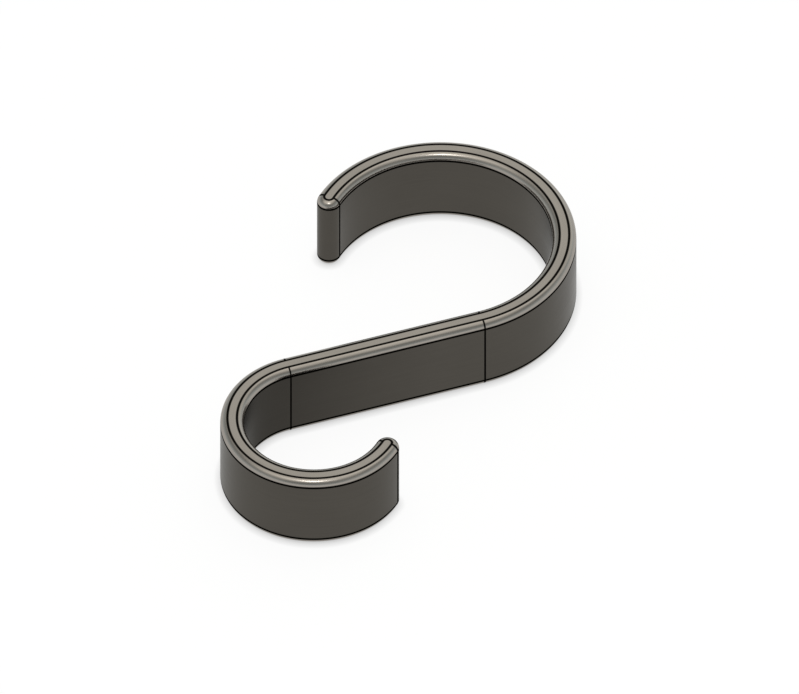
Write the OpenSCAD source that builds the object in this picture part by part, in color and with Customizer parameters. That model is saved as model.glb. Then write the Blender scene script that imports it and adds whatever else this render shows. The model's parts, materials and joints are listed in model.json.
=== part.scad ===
// S hook bent from one length of flat bar, lying on its side.
// The rail loop and the load loop are round bends of different size, joined by a straight shank that
// leans from the hanging line. Both loops' centres are on the hanging line, which is the Y axis, and
// the bar's width stands along Z. All long edges are rounded, and each tip is a full half round.

/* [Bar] */
// Thickness of the bar, measured in the plane that it bends in
bar_thickness = 3.5; // [2:0.1:6]
// Width of the bar, which is the hook's height as it lies
bar_width = 12.5; // [6:0.5:30]
// Radius that rounds the bar's long edges and the rims of its tips
edge_radius = 1.05; // [0.2:0.05:1.6]

/* [Rail loop] */
// Inner diameter of the loop that hangs on the rail
rail_loop_bore = 32.65; // [20:0.05:60]
// Angle by which this loop's tip passes the level of the loop's centre
rail_tip_turn = 0; // [-30:1:40]

/* [Load loop] */
// Inner diameter of the loop that carries the load
load_loop_bore = 20.3; // [12:0.05:50]
// Angle by which this loop's tip passes the level of the loop's centre
load_tip_turn = 0; // [-30:1:40]

/* [Shank] */
// Angle by which the straight shank leans from the hanging line
shank_lean = 45; // [30:1:60]

/* [Hidden] */
$fn = 96;

// Satin steel
steel_colour = [0.60, 0.58, 0.55];

// The flat land that stays between two rounded edges, however thin the bar
least_land = 0.2;
corner_radius = min(edge_radius, (min(bar_thickness, bar_width) - least_land) / 2);
land_width = bar_thickness - 2 * corner_radius;
wall_height = bar_width - 2 * corner_radius;

// The bends' radii at the middle of the bar
rail_bend_radius = (rail_loop_bore + bar_thickness) / 2;
load_bend_radius = (load_loop_bore + bar_thickness) / 2;

// The shank is tangent to both bends, and this length brings both centres onto the hanging line
bend_radii = rail_bend_radius + load_bend_radius;
shank_length = bend_radii / tan(shank_lean);
centre_distance = bend_radii / sin(shank_lean);
hook_length = centre_distance + bend_radii + bar_thickness;

// The load loop's centre, with the hook's length centred on the origin
load_centre_y = load_bend_radius + bar_thickness / 2 - hook_length / 2;

// The coarse step of a two-step move
coarse_step = 0.001;

// Moves by the nearest coarse step and then by the small rest, which keeps the place's full precision
module fine_translate(place) {
    coarse = [for (p = place) round(p / coarse_step) * coarse_step];
    translate(coarse) translate(place - coarse) children();
}

// Cross-section of the bar: a rectangle with four rounded corners, standing on the X axis
module bar_section() {
    translate([-bar_thickness / 2, corner_radius]) square([bar_thickness, wall_height]);
    translate([-land_width / 2, 0]) square([land_width, bar_width]);
    for (x = [-1, 1] * land_width / 2, y = [corner_radius, corner_radius + wall_height])
        translate([x, y]) circle(r = corner_radius);
}

// The half of the section that a tip turns about its own upright axis
module tip_section() {
    intersection() {
        bar_section();
        square([bar_thickness, bar_width]);
    }
}

// Straight stretch along X, from the origin
module shank() {
    rotate([90, 0, 90]) linear_extrude(height = shank_length) bar_section();
}

// Round bend that leaves the origin along X and turns left, up to its half-round tip. Without a
// tip_turn, the tip faces back along the hanging line.
module loop(bend_radius, tip_turn) {
    start_angle = -90;
    tip_angle = 90 + shank_lean + tip_turn;
    tip_place = bend_radius * [cos(tip_angle), sin(tip_angle), 0];
    translate([0, bend_radius, 0]) {
        rotate_extrude(start = start_angle, angle = tip_angle - start_angle)
            translate([bend_radius, 0]) bar_section();
        fine_translate(tip_place)
            rotate_extrude(start = tip_angle, angle = 180) tip_section();
    }
}

// The whole hook is one piece, drawn along its shank and then turned onto the hanging line
module s_hook() {
    color(steel_colour)
        translate([0, load_centre_y, 0])
            rotate([0, 0, 90 - shank_lean])
                translate([0, load_bend_radius, 0]) {
                    shank();
                    translate([shank_length, 0, 0]) loop(rail_bend_radius, rail_tip_turn);
                    rotate([0, 0, 180]) loop(load_bend_radius, load_tip_turn);
                }
}

s_hook();
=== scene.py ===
"""A satin steel S hook, bent from one length of flat bar and lying on its side.

The bar is made straight, as it comes from the rack, with a half round on each tip. It is then bent
round the two loops and turned onto the hanging line. Every size comes from the frame. All lengths
are in metres and all angles in radians, unless a name says otherwise.
"""

import json
import logging
import math
from dataclasses import dataclass
from enum import Enum

import bpy
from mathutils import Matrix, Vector


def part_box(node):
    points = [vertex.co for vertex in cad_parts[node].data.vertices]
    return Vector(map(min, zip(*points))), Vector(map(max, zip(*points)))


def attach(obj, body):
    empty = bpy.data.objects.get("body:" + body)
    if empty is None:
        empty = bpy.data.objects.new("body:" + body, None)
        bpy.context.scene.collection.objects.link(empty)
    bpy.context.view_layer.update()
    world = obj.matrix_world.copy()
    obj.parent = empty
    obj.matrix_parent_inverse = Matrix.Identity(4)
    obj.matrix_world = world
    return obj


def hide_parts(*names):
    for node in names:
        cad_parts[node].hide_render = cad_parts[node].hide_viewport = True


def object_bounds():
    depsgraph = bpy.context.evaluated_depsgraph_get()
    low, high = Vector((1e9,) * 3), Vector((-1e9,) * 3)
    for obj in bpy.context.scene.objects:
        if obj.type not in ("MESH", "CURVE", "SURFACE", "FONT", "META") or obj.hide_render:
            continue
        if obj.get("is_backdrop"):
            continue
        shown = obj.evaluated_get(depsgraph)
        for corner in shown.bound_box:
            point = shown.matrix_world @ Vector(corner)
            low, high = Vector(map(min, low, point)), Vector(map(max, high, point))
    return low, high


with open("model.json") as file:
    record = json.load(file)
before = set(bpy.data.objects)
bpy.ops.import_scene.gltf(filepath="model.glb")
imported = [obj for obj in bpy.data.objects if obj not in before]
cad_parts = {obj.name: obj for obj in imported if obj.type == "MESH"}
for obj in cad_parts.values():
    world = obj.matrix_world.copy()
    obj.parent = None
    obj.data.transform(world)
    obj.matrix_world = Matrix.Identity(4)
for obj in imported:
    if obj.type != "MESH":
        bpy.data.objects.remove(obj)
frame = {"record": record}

LOG = logging.getLogger("s_hook")
MILLIMETRE = 0.001
WHITE = (1.0, 1.0, 1.0)

Setting = bpy.types.NodeSocket | float | int | bool | tuple | bpy.types.ID
Colour = tuple[float, float, float]


class Side(Enum):
    """The end of the shank that a loop is bent from, by its direction along the straight bar."""

    LOAD = -1.0
    RAIL = 1.0


class Mark(Enum):
    """The attributes that the bar's mesh keeps for its finish."""

    BAR = "bar"
    SECTION = "section"


class NodeBoard:
    """Adds nodes to one tree and links them."""

    COLUMN = 180.0
    NOISE_DETAIL = 2.0
    NOISE_MIDDLE = 0.5

    def __init__(self, tree: bpy.types.NodeTree) -> None:
        """Takes the tree to work on."""
        self.tree = tree

    def put(self, socket: bpy.types.NodeSocket, value: Setting) -> None:
        """Gives a socket its value or its link.

        Args:
            socket: The input to set.
            value: Another node's output, or a plain value.
        """
        if isinstance(value, bpy.types.NodeSocket):
            self.tree.links.new(value, socket)
        else:
            socket.default_value = value

    def add(self, kind: str, inputs: dict[str | int, Setting] | None = None,
            **settings: str | bool) -> bpy.types.Node:
        """Adds one node.

        Args:
            kind: Blender's name for the node's type.
            inputs: Values or links, by the input's name or number.
            **settings: The node's own properties.

        Returns:
            The new node.
        """
        node = self.tree.nodes.new(kind)
        node.location.x = self.COLUMN * len(self.tree.nodes)
        for name, value in settings.items():
            setattr(node, name, value)
        for name, value in (inputs or {}).items():
            self.put(node.inputs[name], value)
        return node

    def maths(self, operation: str, *values: Setting, clamp: bool = False) -> bpy.types.NodeSocket:
        """Adds a Math node.

        Args:
            operation: The node's operation.
            *values: Its values or links, in order.
            clamp: True keeps the result from 0 to 1.

        Returns:
            The node's result.
        """
        node = self.add("ShaderNodeMath", dict(enumerate(values)), operation=operation,
                        use_clamp=clamp)
        return node.outputs[0]

    def vector(self, operation: str, *values: Setting) -> bpy.types.NodeSocket:
        """Adds a Vector Math node.

        Args:
            operation: The node's operation.
            *values: Its values or links, in order. For SCALE, the second one is the factor.

        Returns:
            The node's result.
        """
        places = (0, "Scale") if operation == "SCALE" else range(len(values))
        node = self.add("ShaderNodeVectorMath", dict(zip(places, values)), operation=operation)
        return node.outputs["Vector"]

    def dot(self, vector: Setting, axis: Vector) -> bpy.types.NodeSocket:
        """Measures a vector along an axis."""
        inputs = {0: vector, 1: tuple(axis)}
        return self.add("ShaderNodeVectorMath", inputs, operation="DOT_PRODUCT").outputs["Value"]

    def mixed(self, share: Setting, first: Colour | bpy.types.NodeSocket,
              second: Colour | bpy.types.NodeSocket) -> bpy.types.NodeSocket:
        """Mixes two colours.

        Args:
            share: The second colour's share.
            first: The colour at a share of 0.
            second: The colour at a share of 1.

        Returns:
            The mixed colour.
        """
        node = self.add("ShaderNodeMix", {"Factor": share}, data_type="RGBA")
        places = [socket for socket in node.inputs if socket.type == "RGBA"]
        for socket, colour in zip(places, (first, second)):
            self.put(socket, colour if isinstance(colour, bpy.types.NodeSocket) else (*colour, 1.0))
        return next(socket for socket in node.outputs if socket.type == "RGBA")

    def noise(self, place: Setting, scale: float) -> bpy.types.NodeSocket:
        """Makes a soft noise that swings about 0."""
        node = self.add("ShaderNodeTexNoise", {"Vector": place, "Scale": scale,
                                               "Detail": self.NOISE_DETAIL})
        return self.maths("SUBTRACT", node.outputs["Fac"], self.NOISE_MIDDLE)

    def nearest(self, first: Setting, *others: Setting) -> bpy.types.NodeSocket:
        """Gives the smallest of some gaps, whatever their signs."""
        smallest = self.maths("ABSOLUTE", first)
        for gap in others:
            smallest = self.maths("MINIMUM", smallest, self.maths("ABSOLUTE", gap))
        return smallest

    def combine(self, x: Setting = 0.0, y: Setting = 0.0, z: Setting = 0.0) -> bpy.types.NodeSocket:
        """Makes a vector of three values."""
        return self.add("ShaderNodeCombineXYZ", {0: x, 1: y, 2: z}).outputs[0]

    def split(self, vector: Setting) -> tuple[bpy.types.NodeSocket, ...]:
        """Takes a vector apart into its three values."""
        return tuple(self.add("ShaderNodeSeparateXYZ", {0: vector}).outputs)

    def clamp(self, value: Setting, low: Setting, high: Setting) -> bpy.types.NodeSocket:
        """Keeps a value from low to high."""
        return self.add("ShaderNodeClamp", {"Value": value, "Min": low, "Max": high}).outputs[0]

    def turned(self, vector: Setting, angle: Setting,
               centre: Setting = (0.0, 0.0, 0.0)) -> bpy.types.NodeSocket:
        """Turns a vector about an upright axis through a centre."""
        node = self.add("ShaderNodeVectorRotate", {"Vector": vector, "Center": centre, "Angle": angle},
                        rotation_type="Z_AXIS")
        return node.outputs[0]

    def step(self, value: Setting, low: Setting, high: Setting, to_low: Setting = 0.0,
             to_high: Setting = 1.0) -> bpy.types.NodeSocket:
        """Adds a smooth step.

        Args:
            value: What the step follows.
            low: Where the step starts.
            high: Where it ends.
            to_low: The result before the step.
            to_high: The result after it.

        Returns:
            The step's result.
        """
        node = self.add("ShaderNodeMapRange", {"Value": value, "From Min": low, "From Max": high,
                                               "To Min": to_low, "To Max": to_high},
                        interpolation_type="SMOOTHSTEP")
        return node.outputs["Result"]


class GeometryBoard(NodeBoard):
    """Adds nodes to a Geometry Nodes group that it makes."""

    def __init__(self, name: str) -> None:
        """Makes an empty group with one geometry output."""
        super().__init__(bpy.data.node_groups.new(name, "GeometryNodeTree"))
        self.tree.interface.new_socket("Geometry", in_out="OUTPUT", socket_type="NodeSocketGeometry")
        self.source = self.tree.nodes.new("NodeGroupInput")

    def takes(self, name: str, kind: str) -> bpy.types.NodeSocket:
        """Gives a named input, and adds it the first time that it is asked for.

        Args:
            name: The input's name.
            kind: What it holds, such as Float, Int or Vector.

        Returns:
            The socket that gives its value inside the group.
        """
        if name not in self.source.outputs:
            self.tree.interface.new_socket(name, in_out="INPUT", socket_type="NodeSocket" + kind)
        return self.source.outputs[name]

    def gives(self, name: str, kind: str) -> None:
        """Adds a named output."""
        self.tree.interface.new_socket(name, in_out="OUTPUT", socket_type="NodeSocket" + kind)

    def finish(self, **results: bpy.types.NodeSocket) -> bpy.types.NodeTree:
        """Links the group's outputs.

        Args:
            **results: Each output's socket, by the output's name.

        Returns:
            The finished group.
        """
        self.add("NodeGroupOutput", results)
        return self.tree

    def moved(self, geometry: bpy.types.NodeSocket, by: Setting = (0.0, 0.0, 0.0), turn: float = 0.0,
              scale: tuple[float, float, float] = (1.0, 1.0, 1.0)) -> bpy.types.NodeSocket:
        """Moves a geometry.

        Args:
            geometry: What to move.
            by: How far, after the turn.
            turn: The angle about the upright axis.
            scale: The scale along each axis, before the turn.

        Returns:
            The moved geometry.
        """
        node = self.add("GeometryNodeTransform", {"Geometry": geometry, "Translation": by,
                                                  "Rotation": (0.0, 0.0, turn), "Scale": scale})
        return node.outputs[0]

    def mirrored(self, curve: bpy.types.NodeSocket) -> bpy.types.NodeSocket:
        """Mirrors a curve across the X axis and turns its direction round."""
        other = self.moved(curve, scale=(1.0, -1.0, 1.0))
        return self.add("GeometryNodeReverseCurve", {"Curve": other}).outputs[0]

    def joined(self, *geometries: bpy.types.NodeSocket) -> bpy.types.NodeSocket:
        """Joins several geometries into one."""
        node = self.add("GeometryNodeJoinGeometry")
        for geometry in geometries:
            self.tree.links.new(geometry, node.inputs[0])
        return node.outputs[0]

    def line(self, start: Setting, end: Setting, steps: Setting) -> bpy.types.NodeSocket:
        """Makes a straight curve.

        Args:
            start: Its first point.
            end: Its last point.
            steps: The number of equal steps that it is cut into.

        Returns:
            The curve.
        """
        node = self.add("GeometryNodeCurvePrimitiveLine", {"Start": start, "End": end}, mode="POINTS")
        points = self.maths("ADD", steps, 1.0)
        cut = self.add("GeometryNodeResampleCurve", {"Curve": node.outputs[0], "Count": points},
                       mode="COUNT")
        return cut.outputs[0]

    def arc(self, radius: Setting, start: float, sweep: float, steps: Setting) -> bpy.types.NodeSocket:
        """Makes an arc about the origin.

        Args:
            radius: Its radius.
            start: The angle that it starts at.
            sweep: How far it turns, negative for clockwise.
            steps: The number of equal steps that it is cut into.

        Returns:
            The curve.
        """
        points = self.maths("ADD", steps, 1.0)
        node = self.add("GeometryNodeCurveArc", {"Resolution": points, "Radius": radius,
                                                 "Start Angle": start, "Sweep Angle": sweep},
                        mode="RADIUS")
        return node.outputs["Curve"]

    def captured(self, geometry: bpy.types.NodeSocket,
                 **values: bpy.types.NodeSocket) -> tuple[bpy.types.NodeSocket, ...]:
        """Keeps vectors on a geometry's points.

        Args:
            geometry: What to keep them on.
            **values: Each vector, by name.

        Returns:
            The geometry, then each kept vector in order.
        """
        node = self.add("GeometryNodeCaptureAttribute", {"Geometry": geometry}, domain="POINT")
        for name, value in values.items():
            node.capture_items.new("VECTOR", name)
            self.put(node.inputs[name], value)
        return (node.outputs["Geometry"], *(node.outputs[name] for name in values))

    def stored(self, geometry: bpy.types.NodeSocket, mark: Mark,
               value: bpy.types.NodeSocket) -> bpy.types.NodeSocket:
        """Stores a vector on a mesh's points under its mark's name."""
        node = self.add("GeometryNodeStoreNamedAttribute",
                        {"Geometry": geometry, "Name": mark.value, "Value": value},
                        data_type="FLOAT_VECTOR", domain="POINT")
        return node.outputs[0]

    def placed(self, geometry: bpy.types.NodeSocket,
               position: bpy.types.NodeSocket) -> bpy.types.NodeSocket:
        """Puts each point of a geometry at a position."""
        node = self.add("GeometryNodeSetPosition", {"Geometry": geometry, "Position": position})
        return node.outputs[0]


@dataclass(frozen=True)
class LoopShadePlace:
    """Where painted shade darkens the broad face inside a loop, for the shade in the loop's hollow.

    The face is darkest round a middle place, and plain some way off it on both sides. The middle is
    measured along the bar from the bend's start, and all three values are in the loop's own radii.
    """

    middle: float
    darkest: float
    plain: float


@dataclass(frozen=True)
class SatinSteel:
    """Satin steel with a fine grain along the bar.

    The broad faces are brushed to a dark satin, and the narrow edges and their rounds are lighter and
    smoother. The dark faces and light edges are painted shade and painted light, for the dim and bright
    reflections on them. Painted shade darkens the broad face inside each loop, for the shade in its
    hollow. Fine dark lines are drawn where a round meets a flat, and where a bend or a tip starts.
    """

    name: str = "satin_steel"
    # Painted shade and light: the broad faces' colour is dark and the edges' light, for the reflections
    # on them.
    shaded_face_colour: Colour = (0.0755, 0.0690, 0.0595)
    lit_edge_colour: Colour = (0.326, 0.301, 0.271)
    grazing_tint: Colour = (0.80, 0.80, 0.79)
    face_roughness: float = 0.34
    edge_roughness: float = 0.22
    grain_length: float = 9 * MILLIMETRE
    grain_width: float = 0.28 * MILLIMETRE
    fine_grain_width: float = 0.09 * MILLIMETRE
    fine_grain_share: float = 0.4
    cloud_size: float = 7 * MILLIMETRE
    cloud_share: float = 0.7
    grain_shade: float = 0.24
    grain_roughness: float = 0.18
    grain_depth: float = 0.0035 * MILLIMETRE
    edge_light_and_polish_low: float = 0.04
    edge_light_and_polish_high: float = 0.30
    edge_light_and_polish_fray: float = 0.2
    line_core: float = 0.13 * MILLIMETRE
    line_width: float = 0.25 * MILLIMETRE
    line_shade: float = 0.98
    bend_line_share: float = 0.7
    # Painted shade inside each loop, for the shade in its hollow; it also dims the grazing reflection.
    painted_loop_shade: float = 0.50
    loop_shade_grazing_share: float = 0.3
    load_loop_shade_place: LoopShadePlace = LoopShadePlace(middle=-1.95, darkest=1.0, plain=4.2)
    rail_loop_shade_place: LoopShadePlace = LoopShadePlace(middle=1.15, darkest=0.0, plain=0.75)

    def material(self, hook: "Hook") -> bpy.types.Material:
        """Builds the finish for one hook.

        Args:
            hook: The hook, whose section gives the places of the edges' painted light and polish, and
                of the lines.

        Returns:
            The new material.
        """
        steel = bpy.data.materials.new(self.name)
        steel.use_nodes = True
        board = NodeBoard(steel.node_tree)
        shader = board.tree.nodes["Principled BSDF"]
        bar = board.add("ShaderNodeAttribute", attribute_name=Mark.BAR.value).outputs["Vector"]
        section = board.add("ShaderNodeAttribute", attribute_name=Mark.SECTION.value).outputs["Vector"]

        coarse = self._streaks(board, bar, self.grain_width)
        fine = self._streaks(board, bar, self.fine_grain_width)
        grain = board.maths("ADD", board.maths("MULTIPLY", coarse, 1.0 - self.fine_grain_share),
                            board.maths("MULTIPLY", fine, self.fine_grain_share))
        cloud = board.noise(bar, 1.0 / self.cloud_size)
        swing = board.maths("MULTIPLY_ADD", cloud, self.cloud_share, grain)
        edge_light_and_polish = self._edge_light_and_polish(board, hook, section, coarse)

        clear = board.maths("SUBTRACT", 1.0, self._lines(board, hook, bar, section))
        # Painted shade: the broad faces inside the loops are darkened, for the shade in their hollows.
        loop_shade = self._painted_loop_shade(board, hook, bar, edge_light_and_polish)
        # Painted light and shade: the edges get the light colour and the broad faces the dark one.
        colour = board.mixed(edge_light_and_polish, self.shaded_face_colour, self.lit_edge_colour)
        shade = board.maths("MULTIPLY_ADD", swing, self.grain_shade, 1.0)
        shade = board.maths("MULTIPLY", shade, board.maths("SUBTRACT", 1.0, loop_shade))
        # The loops' painted shade also dims their grazing reflection.
        grazing = board.maths("MULTIPLY_ADD", loop_shade, -self.loop_shade_grazing_share, 1.0)
        for name, tint, factor in (("Base Color", colour, shade),
                                   ("Specular Tint", self.grazing_tint, grazing)):
            share = board.maths("MULTIPLY", factor, clear)
            board.put(shader.inputs[name], board.vector("SCALE", tint, share))
        smooth = board.step(edge_light_and_polish, 0.0, 1.0, self.face_roughness, self.edge_roughness)
        board.put(shader.inputs["Roughness"],
                  board.maths("MULTIPLY_ADD", swing, self.grain_roughness, smooth))
        bump = board.add("ShaderNodeBump", {"Strength": 1.0, "Distance": self.grain_depth,
                                            "Height": grain})
        board.put(shader.inputs["Normal"], bump.outputs["Normal"])
        shader.inputs["Metallic"].default_value = 1.0
        return steel

    def _streaks(self, board: NodeBoard, bar: bpy.types.NodeSocket,
                 width: float) -> bpy.types.NodeSocket:
        """Makes a noise that is drawn out along the bar.

        Args:
            board: The material's board.
            bar: The place on the straight bar.
            width: The streaks' width.

        Returns:
            The noise, which swings about 0.
        """
        stretch = (1.0 / self.grain_length, 1.0 / width, 1.0 / width)
        return board.noise(board.vector("MULTIPLY", bar, stretch), 1.0)

    def _edge_light_and_polish(self, board: NodeBoard, hook: "Hook", section: bpy.types.NodeSocket,
                 grain: bpy.types.NodeSocket) -> bpy.types.NodeSocket:
        """Finds the share of painted edge light and polish, which grows over the round from wall to
        land.

        Args:
            board: The material's board.
            hook: The hook.
            section: The place on the bar's section.
            grain: The noise that frays its limit.

        Returns:
            The share, from 0 on a broad face, painted dark, to 1 on a narrow edge, painted light and
            polished.
        """
        height = board.maths("ABSOLUTE", board.split(section)[1])
        rise = board.maths("DIVIDE", board.maths("SUBTRACT", height, hook.wall_half), hook.edge_radius)
        frayed = board.maths("MULTIPLY_ADD", grain, self.edge_light_and_polish_fray, rise)
        return board.step(frayed, self.edge_light_and_polish_low, self.edge_light_and_polish_high)

    def _lines(self, board: NodeBoard, hook: "Hook", bar: bpy.types.NodeSocket,
               section: bpy.types.NodeSocket) -> bpy.types.NodeSocket:
        """Finds the fine dark lines that mark the borders of the bar's faces.

        They run along the bar where its rounds meet the flats, and across its broad faces and
        rounds where a bend starts and where a tip's half round starts. The lines where a bend
        starts are the finest.

        Args:
            board: The material's board.
            hook: The hook.
            bar: The place on the straight bar.
            section: The place on the bar's section.

        Returns:
            How much darker a place is, from 0 up to the line's shade.
        """
        across, height, _ = board.split(section)
        along = board.split(bar)[0]
        wall_gap = board.maths("SUBTRACT", board.maths("ABSOLUTE", height), hook.wall_half)
        lengthwise = board.nearest(wall_gap, board.maths("SUBTRACT", across, hook.land_half))
        bend_gap, tip_gap = (
            board.nearest(*(board.maths("SUBTRACT", along, start) for start in starts))
            for starts in (hook.bend_starts, hook.tip_starts))
        crosswise = board.nearest(board.maths("DIVIDE", bend_gap, self.bend_line_share), tip_gap)
        on_land = board.maths("LESS_THAN", across, hook.land_half)
        crosswise = board.maths("MULTIPLY_ADD", on_land, self.line_width, crosswise)
        return board.step(board.nearest(lengthwise, crosswise), self.line_core, self.line_width,
                          self.line_shade, 0.0)

    def _painted_loop_shade(self, board: NodeBoard, hook: "Hook", bar: bpy.types.NodeSocket,
               edge_light_and_polish: bpy.types.NodeSocket) -> bpy.types.NodeSocket:
        """Finds the painted shade on the broad face inside each loop, for the shade in its hollow.

        On the straight bar, the face towards +Y comes inside the rail loop, and the face towards -Y
        inside the load loop.

        Args:
            board: The material's board.
            hook: The hook.
            bar: The place on the straight bar.
            edge_light_and_polish: The edges' painted light and polish, which take this shade away.

        Returns:
            How much darker the painted shade makes a place, from 0 up to its full depth.
        """
        along, across, _ = board.split(bar)
        shades = []
        for loop_shade, start, radius in ((self.load_loop_shade_place, 0.0, hook.load_radius),
                                     (self.rail_loop_shade_place, hook.shank_length, hook.rail_radius)):
            gap = board.nearest(board.maths("SUBTRACT", along, start + loop_shade.middle * radius))
            shades.append(board.step(gap, loop_shade.darkest * radius, loop_shade.plain * radius,
                                     self.painted_loop_shade, 0.0))
        load_shade, rail_shade = shades
        in_rail = board.maths("GREATER_THAN", across, 0.0)
        in_load = board.maths("SUBTRACT", 1.0, in_rail)
        inside = board.maths("ADD", board.maths("MULTIPLY", rail_shade, in_rail),
                             board.maths("MULTIPLY", load_shade, in_load))
        return board.maths("MULTIPLY", inside, board.maths("SUBTRACT", 1.0, edge_light_and_polish))


@dataclass(frozen=True)
class WhitePaper:
    """Matt white paper. The camera and the steel see it white, and it keeps the hook's soft shadow.

    Close to the hook, its glow is darkened by a painted contact shadow.
    """

    name: str = "white_paper"
    shadow_share: float = 0.12
    light_level: float = 0.80
    painted_contact_shadow: float = 0.46
    painted_contact_reach: float = 1.25 * MILLIMETRE

    def material(self) -> bpy.types.Material:
        """Builds the finish.

        Returns:
            The new material.
        """
        paper = bpy.data.materials.new(self.name)
        paper.use_nodes = True
        board = NodeBoard(paper.node_tree)
        shader = board.tree.nodes["Principled BSDF"]
        share = self.shadow_share
        shader.inputs["Base Color"].default_value = (share, share, share, 1.0)
        shader.inputs["Roughness"].default_value = 1.0
        shader.inputs["Specular IOR Level"].default_value = 0.0
        path = board.add("ShaderNodeLightPath").outputs
        seen = board.maths("ADD", path["Is Camera Ray"], path["Is Glossy Ray"])
        seen = board.maths("ADD", seen, path["Is Transmission Ray"], clamp=True)
        # Painted contact shadow: the glow is darkened where the hook stands close over the paper.
        near = board.add("ShaderNodeAmbientOcclusion", {"Distance": self.painted_contact_reach})
        open_share = board.maths("MULTIPLY_ADD", near.outputs["AO"], self.painted_contact_shadow,
                                 1.0 - self.painted_contact_shadow)
        glow = board.maths("MULTIPLY", board.maths("MULTIPLY", seen, open_share),
                           1.0 - share * self.light_level)
        shader.inputs["Emission Color"].default_value = (1.0, 1.0, 1.0, 1.0)
        board.put(shader.inputs["Emission Strength"], glow)
        return paper


@dataclass
class Hook:
    """The hook, one bent flat bar."""

    width: float
    thickness: float
    edge_radius: float
    rail_radius: float
    load_radius: float
    shank_length: float
    lean: float
    load_centre: Vector
    bend_step: float = math.radians(1.5)
    shank_step: float = 1 * MILLIMETRE
    edge_steps: int = 10
    tip_steps: int = 24
    weld: float = 0.001 * MILLIMETRE

    @classmethod
    def from_frame(cls, node: str, mounts: dict[str, dict]) -> "Hook":
        """Takes every size from the frame.

        Args:
            node: The CAD node's name.
            mounts: The record's mounts, by name.

        Returns:
            The hook.
        """
        low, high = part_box(node)
        rail, load = (Vector(mounts[name]["pos_m"]) for name in ("rail_loop", "load_loop"))
        rail_inside, load_inside = (mounts[name]["dims"]["r_mm"] * MILLIMETRE
                                    for name in ("rail_loop", "load_loop"))
        width = high.z - low.z
        thickness = rail.x - low.x - rail_inside
        rail_radius = rail_inside + thickness / 2
        load_radius = load_inside + thickness / 2
        lean = math.asin((rail_radius + load_radius) / (rail - load).length)
        return cls(
            width=width,
            thickness=thickness,
            edge_radius=(width - mounts["rail_loop"]["dims"]["length_mm"] * MILLIMETRE) / 2,
            rail_radius=rail_radius,
            load_radius=load_radius,
            shank_length=(rail_radius + load_radius) / math.tan(lean),
            lean=lean,
            load_centre=load,
        )

    @property
    def sweep(self) -> float:
        """The angle that each loop turns."""
        return math.pi + self.lean

    @property
    def bend_starts(self) -> tuple[float, float]:
        """The places along the straight bar where a bend starts."""
        return 0.0, self.shank_length

    @property
    def tip_starts(self) -> tuple[float, float]:
        """The places along the straight bar where a tip starts."""
        return (-self.load_radius * self.sweep,
                self.shank_length + self.rail_radius * self.sweep)

    @property
    def wall_half(self) -> float:
        """Half the height of a broad face, between its rounds."""
        return self.width / 2 - self.edge_radius

    @property
    def land_half(self) -> float:
        """Half the width of a narrow edge's flat land."""
        return self.thickness / 2 - self.edge_radius

    def build(self, finish: SatinSteel) -> bpy.types.Object:
        """Builds the hook and gives it its finish.

        Args:
            finish: The hook's finish.

        Returns:
            The finished piece, a plain mesh that rides on the root body.
        """
        blank = bpy.data.objects.new("hook_blank", bpy.data.meshes.new("hook_blank"))
        bpy.context.scene.collection.objects.link(blank)
        steel = finish.material(self)
        tree = self._hook_tree(steel)
        modifier = blank.modifiers.new("hook", "NODES")
        modifier.node_group = tree
        self._fill(modifier, tree)
        depsgraph = bpy.context.evaluated_depsgraph_get()
        mesh = bpy.data.meshes.new_from_object(blank.evaluated_get(depsgraph),
                                               preserve_all_data_layers=True, depsgraph=depsgraph)
        blank.modifiers.clear()
        bpy.data.objects.remove(blank)

        mesh.name = "satin_s_hook"
        piece = bpy.data.objects.new("satin_s_hook", mesh)
        bpy.context.scene.collection.objects.link(piece)
        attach(piece, "root")
        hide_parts("s_hook")
        return piece

    def _fill(self, modifier: bpy.types.NodesModifier, tree: bpy.types.NodeTree) -> None:
        """Sets the modifier's inputs from the hook's sizes.

        Args:
            modifier: The hook's modifier.
            tree: Its group.
        """
        sizes = {
            "Width": self.width,
            "Thickness": self.thickness,
            "Edge Radius": self.edge_radius,
            "Rail Radius": self.rail_radius,
            "Load Radius": self.load_radius,
            "Shank Length": self.shank_length,
            "Sweep": self.sweep,
            "Heading": math.pi / 2 - self.lean,
            "Load Centre": (self.load_centre.x, self.load_centre.y, 0.0),
            "Bend Steps": round(self.sweep / self.bend_step),
            "Shank Steps": round(self.shank_length / self.shank_step),
            "Edge Steps": self.edge_steps,
            "Tip Steps": self.tip_steps,
        }
        for item in tree.interface.items_tree:
            if item.in_out == "INPUT":
                modifier[item.identifier] = sizes[item.name]

    def _hook_tree(self, steel: bpy.types.Material) -> bpy.types.NodeTree:
        """Makes the group that builds the whole hook.

        Args:
            steel: The hook's material.

        Returns:
            The group.
        """
        board = GeometryBoard("hook")
        mesh, normal = self._straight_bar(board)
        place = board.add("GeometryNodeInputPosition").outputs[0]
        mesh, bar = board.captured(mesh, bar=place)
        mesh = board.stored(mesh, Mark.BAR, bar)

        load_radius, rail_radius, shank, sweep, heading = (
            board.takes(name, "Float")
            for name in ("Load Radius", "Rail Radius", "Shank Length", "Sweep", "Heading"))
        bend = self._bend_group()
        turn = heading
        for side, start, radius in ((Side.LOAD, 0.0, load_radius), (Side.RAIL, shank, rail_radius)):
            bent = board.add("GeometryNodeGroup", node_tree=bend)
            inputs = {"Mesh": mesh, "Bar": bar, "Start": start, "Side": side.value,
                      "Radius": radius, "Sweep": sweep}
            for name, value in inputs.items():
                board.put(bent.inputs[name], value)
            mesh = bent.outputs["Geometry"]
            turn = board.maths("ADD", turn, bent.outputs["Turn"])

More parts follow.
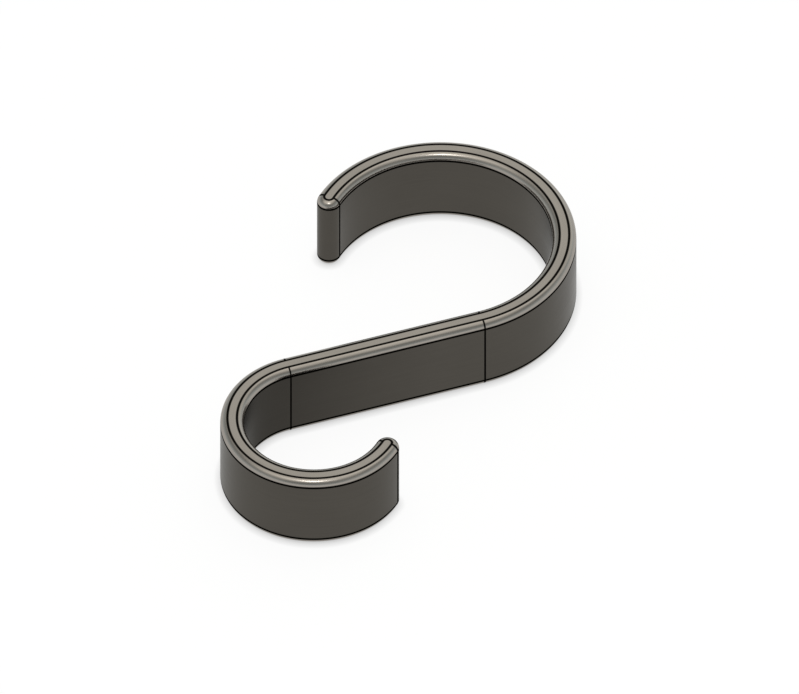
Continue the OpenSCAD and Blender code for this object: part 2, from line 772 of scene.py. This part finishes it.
        shift = board.combine(y=load_radius)
        turned = board.turned(board.vector("ADD", place, shift), heading)
        mesh = board.placed(mesh, board.vector("ADD", turned, board.takes("Load Centre", "Vector")))
        mesh = board.add("GeometryNodeSetMeshNormal", {"Mesh": mesh}, mode="FREE", domain="POINT")
        board.put(mesh.inputs["Custom Normal"], board.turned(normal, turn))
        real = board.add("GeometryNodeRealizeInstances", {"Geometry": mesh.outputs[0]})
        dressed = board.add("GeometryNodeSetMaterial", {"Geometry": real.outputs[0], "Material": steel})
        return board.finish(Geometry=dressed.outputs[0])

    def _straight_bar(self, board: GeometryBoard) -> tuple[bpy.types.NodeSocket, bpy.types.NodeSocket]:
        """Makes the bar before it is bent, lying along X with its tips rounded.

        The section is swept round the bar's outline. Each point is then put at its exact place,
        because a sweep of straight pieces cuts its corners short.

        Args:
            board: The hook's board.

        Returns:
            The bar's mesh, and the direction that each point of it faces.
        """
        width, thickness, edge, load_radius, rail_radius, shank, sweep = (
            board.takes(name, "Float")
            for name in ("Width", "Thickness", "Edge Radius", "Load Radius", "Rail Radius",
                         "Shank Length", "Sweep"))
        bend_steps, shank_steps, edge_steps, tip_steps = (
            board.takes(name, "Int")
            for name in ("Bend Steps", "Shank Steps", "Edge Steps", "Tip Steps"))
        half = board.maths("DIVIDE", thickness, 2.0)
        land = board.maths("SUBTRACT", half, edge)
        start = board.maths("MULTIPLY", board.maths("MULTIPLY", load_radius, sweep), Side.LOAD.value)
        end = board.maths("ADD", shank, board.maths("MULTIPLY", rail_radius, sweep))

        outline = self._outline(board, half, (start, 0.0, shank, end),
                                (bend_steps, shank_steps, bend_steps), tip_steps)
        place = board.add("GeometryNodeInputPosition").outputs[0]
        along = board.clamp(board.split(place)[0], start, end)
        anchor = board.combine(along)
        outward = board.vector("NORMALIZE", board.vector("SUBTRACT", place, anchor))
        outline, anchor, outward = board.captured(outline, anchor=anchor, outward=outward)

        middle = board.maths("DIVIDE", width, 2.0)
        wall = board.maths("SUBTRACT", middle, edge)
        profile = self._half_section(board, half, land, middle, wall, edge, edge_steps)
        across, height, _ = board.split(place)
        core = board.combine(board.clamp(across, 0.0, land),
                             board.clamp(height, board.maths("MULTIPLY", wall, -1.0), wall))
        facing = board.vector("NORMALIZE", board.vector("SUBTRACT", place, core))
        profile, section, facing = board.captured(profile, section=place, facing=facing)

        swept = board.add("GeometryNodeCurveToMesh", {"Curve": outline, "Profile Curve": profile})
        across, height, _ = board.split(section)
        face_out, face_up, _ = board.split(facing)
        normal = board.vector("ADD", board.vector("SCALE", outward, face_out),
                              board.combine(z=face_up))
        upright = board.combine(z=board.maths("ADD", height, middle))
        spot = board.vector("ADD", anchor, board.vector("SCALE", outward, across))
        mesh, normal, section = board.captured(swept.outputs[0], normal=normal, section=section)
        mesh = board.placed(mesh, board.vector("ADD", spot, upright))
        mesh = board.add("GeometryNodeMergeByDistance", {"Geometry": mesh, "Distance": self.weld})
        return board.stored(mesh.outputs[0], Mark.SECTION, section), normal

    def _outline(self, board: GeometryBoard, half: Setting, cuts: tuple[Setting, ...],
                 steps: tuple[Setting, ...], tip_steps: Setting) -> bpy.types.NodeSocket:
        """Draws the straight bar's outline from above, as curves that run anticlockwise.

        Args:
            board: The hook's board.
            half: Half the bar's thickness.
            cuts: The places along the bar where the load loop's bend ends and starts, and the
                rail loop's bend starts and ends.
            steps: The number of steps between each cut and the next.
            tip_steps: The number of steps round each tip.

        Returns:
            The outline's curves.
        """
        edge_y = board.maths("MULTIPLY", half, -1.0)
        points = [board.combine(cut, edge_y) for cut in cuts]
        near = board.joined(*(board.line(first, last, count)
                              for first, last, count in zip(points, points[1:], steps)))
        tip = board.arc(half, -math.pi / 2, math.pi, tip_steps)
        rail_tip = board.moved(tip, board.combine(cuts[-1]))
        load_tip = board.moved(tip, board.combine(cuts[0]), turn=math.pi)
        return board.joined(near, rail_tip, board.mirrored(near), load_tip)

    def _half_section(self, board: GeometryBoard, half: Setting, land: Setting, middle: Setting,
                      wall: Setting, edge: Setting, edge_steps: Setting) -> bpy.types.NodeSocket:
        """Draws half of the bar's section, from its middle line over one broad face and back.

        Args:
            board: The hook's board.
            half: Half the bar's thickness.
            land: Half the land's width.
            middle: Half the bar's width.
            wall: Half the broad face's height.
            edge: The edges' radius.
            edge_steps: The number of steps over each round.

        Returns:
            The section's curves.
        """
        top = board.line(board.combine(0.0, middle), board.combine(land, middle), 1)
        corner = board.moved(board.arc(edge, math.pi / 2, -math.pi / 2, edge_steps),
                             board.combine(land, wall))
        face = board.line(board.combine(half, wall), board.combine(half, 0.0), 2)
        upper = board.joined(top, corner, face)
        return board.joined(upper, board.mirrored(upper))

    def _bend_group(self) -> bpy.types.NodeTree:
        """Makes the group that bends the straight bar round one loop.

        Returns:
            The group. Its Turn output is the angle that a place on the bar has turned.
        """
        board = GeometryBoard("bend")
        board.gives("Turn", "Float")
        mesh = board.takes("Mesh", "Geometry")
        bar = board.takes("Bar", "Vector")
        start, side, radius, sweep = (board.takes(name, "Float")
                                      for name in ("Start", "Side", "Radius", "Sweep"))
        past = board.maths("MULTIPLY", board.maths("SUBTRACT", board.split(bar)[0], start), side)
        past = board.clamp(past, 0.0, board.maths("MULTIPLY", radius, sweep))
        turn = board.maths("DIVIDE", past, radius)
        centre = board.combine(start, board.maths("MULTIPLY", radius, side))
        back = board.combine(board.maths("MULTIPLY", past, side))
        place = board.add("GeometryNodeInputPosition").outputs[0]
        bent = board.turned(board.vector("SUBTRACT", place, back), turn, centre)
        return board.finish(Geometry=board.placed(mesh, bent), Turn=turn)


@dataclass
class Backdrop:
    """A round sheet of white paper under the hook, whose rim curves up into a low wall."""

    flat_radius: float = 0.42
    cove_radius: float = 0.10
    wall_height: float = 0.12
    cove_steps: int = 12
    segments: int = 96

    def build(self, finish: WhitePaper) -> bpy.types.Object:
        """Builds the sheet.

        Args:
            finish: The sheet's finish.

        Returns:
            The sheet, marked as part of the stage.
        """
        rings = self._rings()
        points = [(0.0, 0.0, 0.0)]
        for radius, height in rings:
            for index in range(self.segments):
                angle = 2 * math.pi * index / self.segments
                points.append((radius * math.cos(angle), radius * math.sin(angle), height))
        faces = []
        for index in range(self.segments):
            follow = (index + 1) % self.segments
            faces.append((0, 1 + index, 1 + follow))
            for ring in range(len(rings) - 1):
                inner = 1 + ring * self.segments
                outer = inner + self.segments
                faces.append((inner + index, outer + index, outer + follow, inner + follow))
        mesh = bpy.data.meshes.new("paper")
        mesh.from_pydata(points, [], faces)
        mesh.shade_smooth()
        mesh.materials.append(finish.material())
        sheet = bpy.data.objects.new("paper", mesh)
        bpy.context.scene.collection.objects.link(sheet)
        sheet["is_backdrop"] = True
        return sheet

    def _rings(self) -> list[tuple[float, float]]:
        """Gives the radius and height of each ring of points, from the middle out.

        Returns:
            The rings.
        """
        rings = [(self.flat_radius, 0.0)]
        for step in range(1, self.cove_steps + 1):
            angle = math.pi / 2 * step / self.cove_steps
            rings.append((self.flat_radius + self.cove_radius * math.sin(angle),
                          self.cove_radius * (1 - math.cos(angle))))
        rings.append((self.flat_radius + self.cove_radius, self.wall_height))
        return rings


@dataclass(frozen=True)
class Direction:
    """A direction seen from the hook. The azimuth is 0 towards -Y and grows towards +X."""

    azimuth_deg: float
    elevation_deg: float

    def axis(self) -> Vector:
        """Gives the direction as a vector of length 1."""
        azimuth = math.radians(self.azimuth_deg)
        elevation = math.radians(self.elevation_deg)
        return Vector((math.sin(azimuth) * math.cos(elevation),
                       -math.cos(azimuth) * math.cos(elevation), math.sin(elevation)))


@dataclass(frozen=True)
class Spot:
    """A round part of the light tent with a soft border."""

    middle: Direction
    inner_deg: float
    outer_deg: float
    level: float


@dataclass(frozen=True)
class Band:
    """A level ring round the light tent, by its elevation and its brightness."""

    elevation_deg: float
    level: float


@dataclass
class Studio:
    """The light round the hook: a plain light tent, and one small round lamp near its top.

    The tent has two soft bright panels, and it is dimmer round its opening, on the camera's side.
    Below its foot, everything is plain white.
    """

    bands: tuple[Band, ...] = (
        Band(0.0, 0.90),
        Band(9.0, 0.86),
        Band(18.0, 0.78),
        Band(29.0, 0.60),
        Band(38.0, 0.42),
        Band(47.0, 0.42),
        Band(54.0, 0.54),
        Band(62.0, 0.80),
        Band(72.0, 1.05),
        Band(90.0, 1.10),
    )
    rim_colour: Colour = (0.86, 1.01, 1.08)
    roof_colour: Colour = (1.03, 1.0, 0.94)
    panels: tuple[Spot, ...] = (
        Spot(Direction(186.0, 45.0), 20.0, 38.0, 0.50),
        Spot(Direction(-34.0, 64.0), 8.0, 32.0, 0.36),
    )
    opening: Spot = Spot(Direction(25.85, 0.0), 25.0, 55.0, -0.32)
    foot_deg: float = 1.0
    lamp: Direction = Direction(22.0, 73.5)
    lamp_width_deg: float = 14.5
    lamp_distance: float = 0.7
    lamp_radiance: float = 4.6

    def build(self) -> None:
        """Sets up the world and the lamp."""
        self._tent()
        self._lamp()

    def _tent(self) -> None:
        """Makes the world, which is the tent."""
        world = bpy.data.worlds.new("light_tent")
        bpy.context.scene.world = world
        world.use_nodes = True
        board = NodeBoard(world.node_tree)
        place = board.add("ShaderNodeTexCoord").outputs["Generated"]
        rise = board.split(place)[2]
        most = max(band.level for band in self.bands)
        opened = board.maths("ADD", self._spot(board, place, self.opening), 1.0)
        tent = board.vector("SCALE", self._bands(board, rise, most), opened)
        for panel in self.panels:
            level = board.maths("DIVIDE", self._spot(board, place, panel), most)
            tent = board.vector("ADD", tent, board.vector("SCALE", self.roof_colour, level))
        below = board.maths("LESS_THAN", rise, math.sin(math.radians(self.foot_deg)))
        shade = board.mixed(below, tent, tuple(share / most for share in WHITE))
        background = board.tree.nodes["Background"]
        board.put(background.inputs["Color"], shade)
        background.inputs["Strength"].default_value = most

    def _bands(self, board: NodeBoard, rise: bpy.types.NodeSocket,
               most: float) -> bpy.types.NodeSocket:
        """Shades the tent's wall by its elevation.

        Args:
            board: The world's board.
            rise: The sine of the elevation.
            most: The brightest band's level, which the shades are a share of.

        Returns:
            The wall's colour.
        """
        ramp = board.add("ShaderNodeValToRGB", {"Fac": rise})
        stops = ramp.color_ramp.elements
        while len(stops) < len(self.bands):
            stops.new(1.0)
        for stop, band in zip(stops, self.bands):
            height = math.sin(math.radians(band.elevation_deg))
            colour = Vector(self.rim_colour).lerp(Vector(self.roof_colour), height)
            stop.position = height
            stop.color = (*(colour * band.level / most), 1.0)
        return ramp.outputs["Color"]

    def _spot(self, board: NodeBoard, place: bpy.types.NodeSocket, spot: Spot) -> bpy.types.NodeSocket:
        """Marks a soft round part of the tent.

        Args:
            board: The world's board.
            place: The direction that is looked up.
            spot: The part.

        Returns:
            The mark, from 0 outside to the part's level in its middle.
        """
        return board.step(board.dot(place, spot.middle.axis()), math.cos(math.radians(spot.outer_deg)),
                          math.cos(math.radians(spot.inner_deg)), 0.0, spot.level)

    def _lamp(self) -> None:
        """Hangs the small lamp, which gives the rounds their bright line."""
        data = bpy.data.lights.new("round_lamp", "AREA")
        data.shape = "DISK"
        data.size = 2 * self.lamp_distance * math.tan(math.radians(self.lamp_width_deg) / 2)
        data.energy = self.lamp_radiance * math.pi * data.size ** 2
        lamp = bpy.data.objects.new("round_lamp", data)
        toward = self.lamp.axis()
        lamp.location = toward * self.lamp_distance
        lamp.rotation_euler = toward.to_track_quat("Z", "Y").to_euler()
        bpy.context.scene.collection.objects.link(lamp)


@dataclass
class Viewpoint:
    """The camera, which looks down on the hook without perspective."""

    toward: Direction = Direction(25.85, 44.47)
    view_width: float = 116.52 * MILLIMETRE
    aim_right: float = 1.918 * MILLIMETRE
    aim_up: float = -0.541 * MILLIMETRE
    distance: float = 0.30

    def build(self, centre: Vector) -> bpy.types.Object:
        """Sets up the camera.

        Args:
            centre: The middle of the hook's box.

        Returns:
            The camera.
        """
        back = self.toward.axis()
        right = Vector((-back.y, back.x, 0.0)).normalized()
        up = back.cross(right)
        data = bpy.data.cameras.new("camera")
        data.type = "ORTHO"
        data.ortho_scale = self.view_width
        camera = bpy.data.objects.new("camera", data)
        aim = centre + self.aim_right * right + self.aim_up * up
        camera.location = aim + self.distance * back
        camera.rotation_euler = back.to_track_quat("Z", "Y").to_euler()
        bpy.context.scene.collection.objects.link(camera)
        bpy.context.scene.camera = camera
        return camera


def corners() -> list[list[float]]:
    """Gives the lowest and highest corner of the shown object as plain lists."""
    return [list(corner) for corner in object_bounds()]


def main() -> None:
    logging.basicConfig(level=logging.INFO, format="%(name)s: %(message)s")
    cad_box = corners()
    low, high = (Vector(corner) for corner in cad_box)
    mounts = {mount["name"]: mount for mount in frame["record"]["mounts"]}

    Viewpoint().build((low + high) / 2)
    LOG.info("camera set")
    hook = Hook.from_frame("s_hook", mounts)
    piece = hook.build(SatinSteel())
    LOG.info("hook built: %d faces", len(piece.data.polygons))
    Backdrop().build(WhitePaper())
    LOG.info("paper laid")
    Studio().build()
    LOG.info("lights set")

    bpy.context.scene.view_settings.view_transform = "Standard"


if __name__ == "__main__":
    main()
